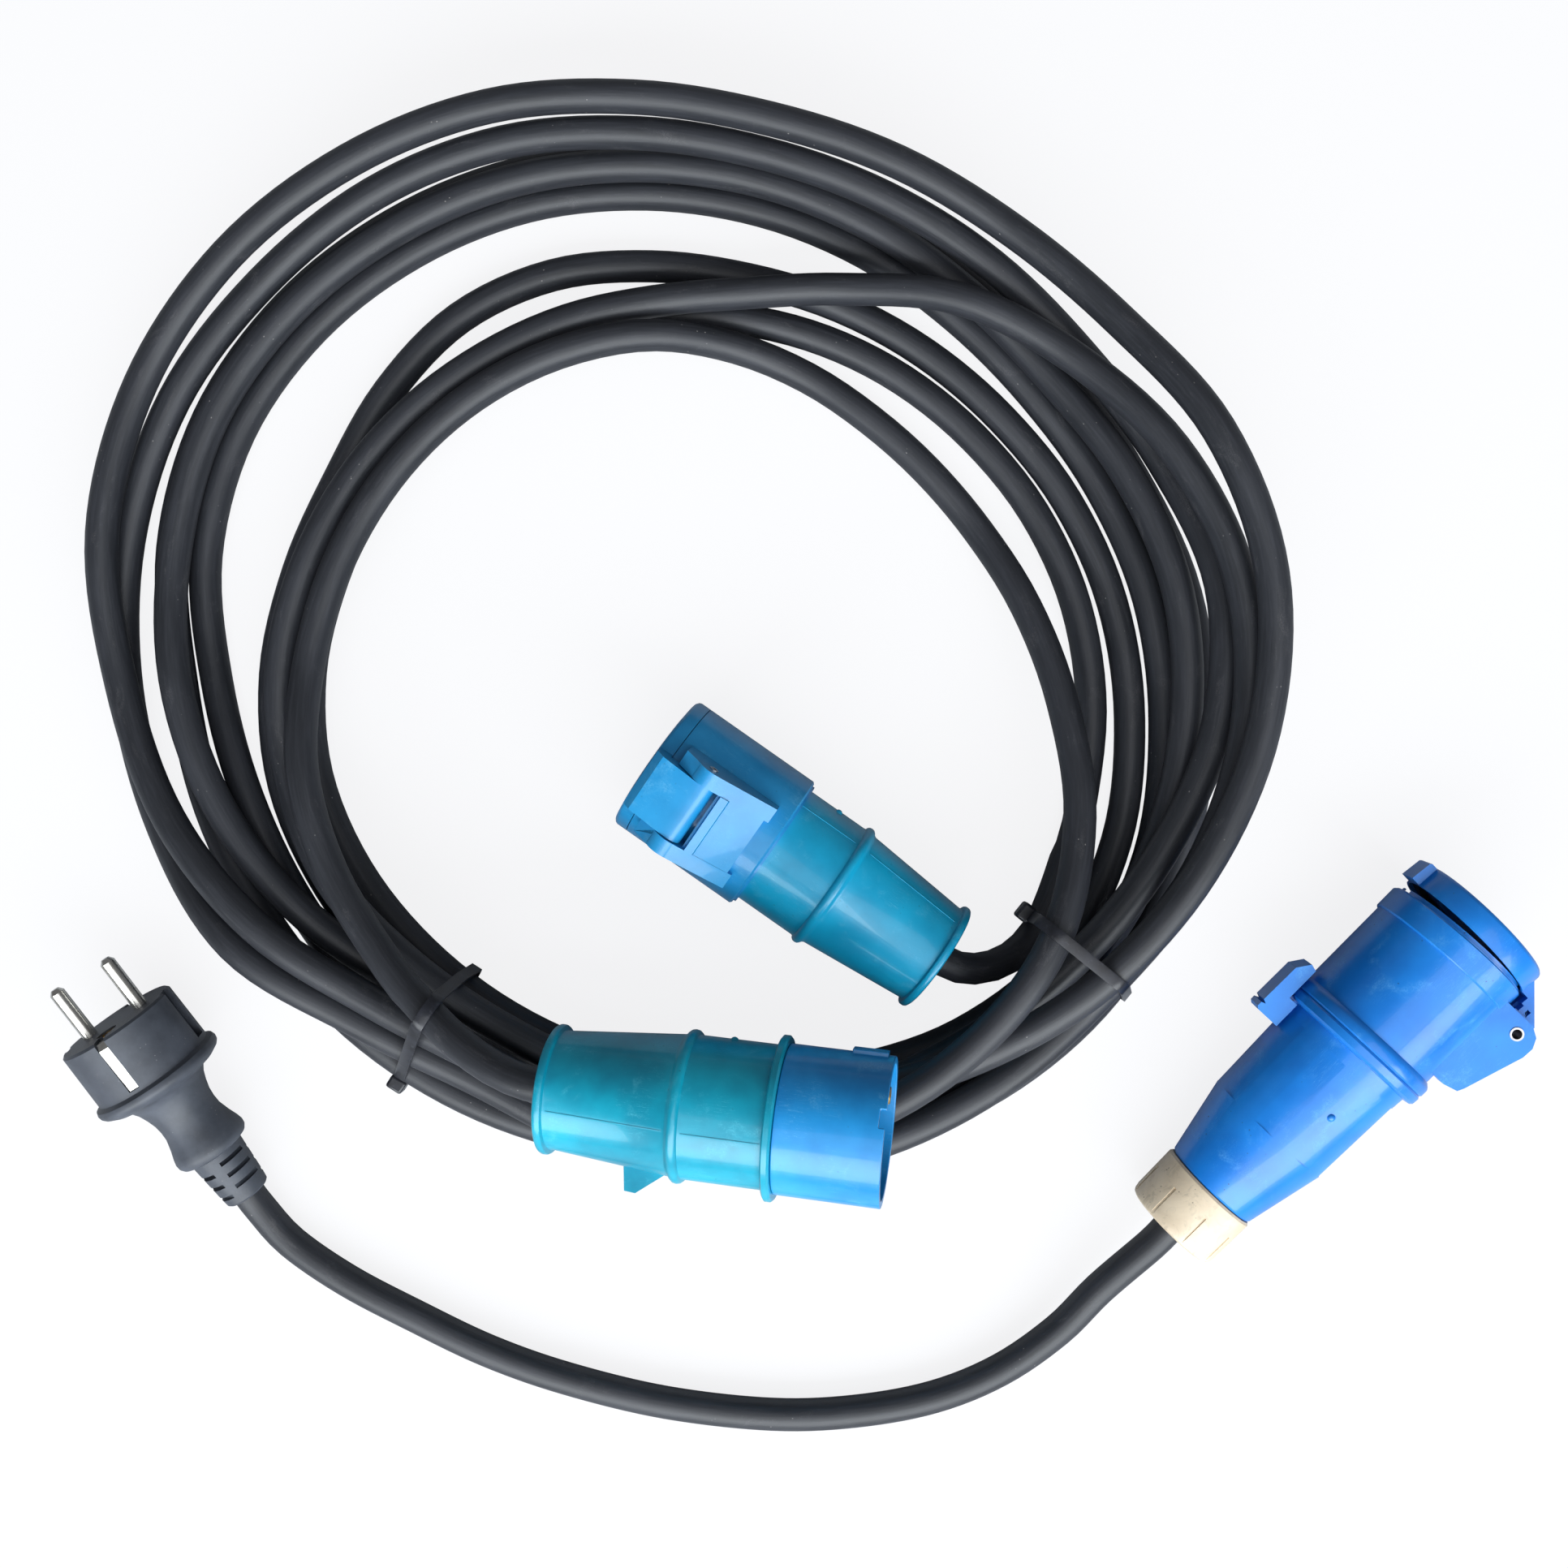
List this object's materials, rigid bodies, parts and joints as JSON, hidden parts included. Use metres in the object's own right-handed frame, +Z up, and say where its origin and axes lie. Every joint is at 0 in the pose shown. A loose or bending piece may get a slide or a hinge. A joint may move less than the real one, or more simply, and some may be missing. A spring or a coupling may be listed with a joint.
{
  "type": "shore power cord",
  "caption": "Caravan shore power cord: coiled rubber extension cable with blue pin-and-sleeve plug and lidded connector, and a short adapter lead from a mains plug.",
  "frame": {"origin": "on the floor, under the middle of the box round the four plugs and connectors", "axes": "+X along the row of plugs, from the mains plug to the adapter connector; +Y from the adapter lead to the coil; +Z up, with both leads lying on the floor at z = 0"},
  "size_m": [0.4772, 0.4453, 0.1046],
  "materials": {
    "cable_rubber": "satin",
    "seal_rubber": "matte",
    "tie_nylon": "satin",
    "core_insulation": "satin",
    "teal_plastic": "satin",
    "faded_blue_plastic": "satin",
    "blue_plastic": "satin",
    "cream_plastic": "worn",
    "black_rubber": "satin",
    "bridge_plastic": "satin",
    "black_plastic": "satin",
    "nickel": "bright",
    "brass": "bright",
    "steel": "satin"
  },
  "bodies": {
    "leads": {"extension_cable": "cable_rubber", "left_cable_tie": "tie_nylon", "right_cable_tie": "tie_nylon", "plug_rear_housing": "teal_plastic", "plug_front_body": "faded_blue_plastic", "plug_pin_carrier": "black_plastic", "plug_live_pin": "brass", "plug_neutral_pin": "brass", "plug_earth_pin": "brass", "plug_terminal_screws": "steel", "plug_cable_clamp": "black_plastic", "plug_clamp_screws": "steel", "plug_cable_seal": "seal_rubber", "plug_core_wires": "core_insulation", "socket_rear_housing": "teal_plastic", "socket_front_body": "faded_blue_plastic", "socket_hinge_pin": "steel", "socket_lid_spring": "steel", "socket_contact_carrier": "black_plastic", "socket_terminal_base": "black_plastic", "socket_live_contact": "brass", "socket_neutral_contact": "brass", "socket_earth_contact": "brass", "socket_terminal_screws": "steel", "socket_cable_clamp": "black_plastic", "socket_clamp_screws": "steel", "socket_cable_seal": "seal_rubber", "socket_core_wires": "core_insulation", "adapter_gland_sleeve": "seal_rubber", "adapter_rear_housing": "blue_plastic", "adapter_front_body": "blue_plastic", "adapter_hinge_pin": "steel", "adapter_lid_spring": "steel", "adapter_contact_carrier": "black_plastic", "adapter_terminal_base": "black_plastic", "adapter_live_contact": "brass", "adapter_neutral_contact": "brass", "adapter_earth_contact": "brass", "adapter_terminal_screws": "steel", "adapter_core_wires": "core_insulation", "mains_plug_body": "black_rubber", "mains_plug_pin_bridge": "bridge_plastic", "mains_plug_live_pin": "nickel", "mains_plug_neutral_pin": "nickel", "mains_plug_earth_clips": "nickel", "mains_plug_earth_socket": "brass", "mains_plug_core_wires": "core_insulation", "adapter_cable": "cable_rubber"},
    "socket_lid": {"socket_lid": "faded_blue_plastic", "socket_lid_gasket": "seal_rubber"},
    "adapter_lid": {"adapter_lid": "blue_plastic", "adapter_lid_gasket": "seal_rubber"},
    "gland_nut": {"adapter_gland_nut": "cream_plastic"},
    "latch": {"adapter_latch": "blue_plastic"}
  },
  "joints": [
    {"name": "socket_lid_hinge", "type": "hinge", "parent": "leads", "child": "socket_lid", "pos_m": [-0.03331, 0.05665, 0.05198], "axis": [0.561, 0.8013, 0.2079], "range_deg": [0, 110], "stiffness_Nm_per_rad": 0.004, "springref_deg": -57.3},
    {"name": "adapter_lid_hinge", "type": "hinge", "parent": "leads", "child": "adapter_lid", "pos_m": [0.22768, -0.01268, 0.02913], "axis": [0.0721, 0.0781, -0.9943], "range_deg": [-3.7, 105], "stiffness_Nm_per_rad": 0.004},
    {"name": "gland_nut_turn", "type": "hinge", "parent": "leads", "child": "gland_nut", "pos_m": [0.13087, -0.07542, 0.01719], "axis": [0.6743, 0.7308, 0.1063], "continuous": true},
    {"name": "latch_pivot", "type": "hinge", "parent": "leads", "child": "latch", "pos_m": [0.16021, -0.00617, 0.02475], "axis": [-0.0721, -0.0781, 0.9943], "range_deg": [0, 6], "stiffness_Nm_per_rad": 0.02, "springref_deg": -2.86}
  ]
}
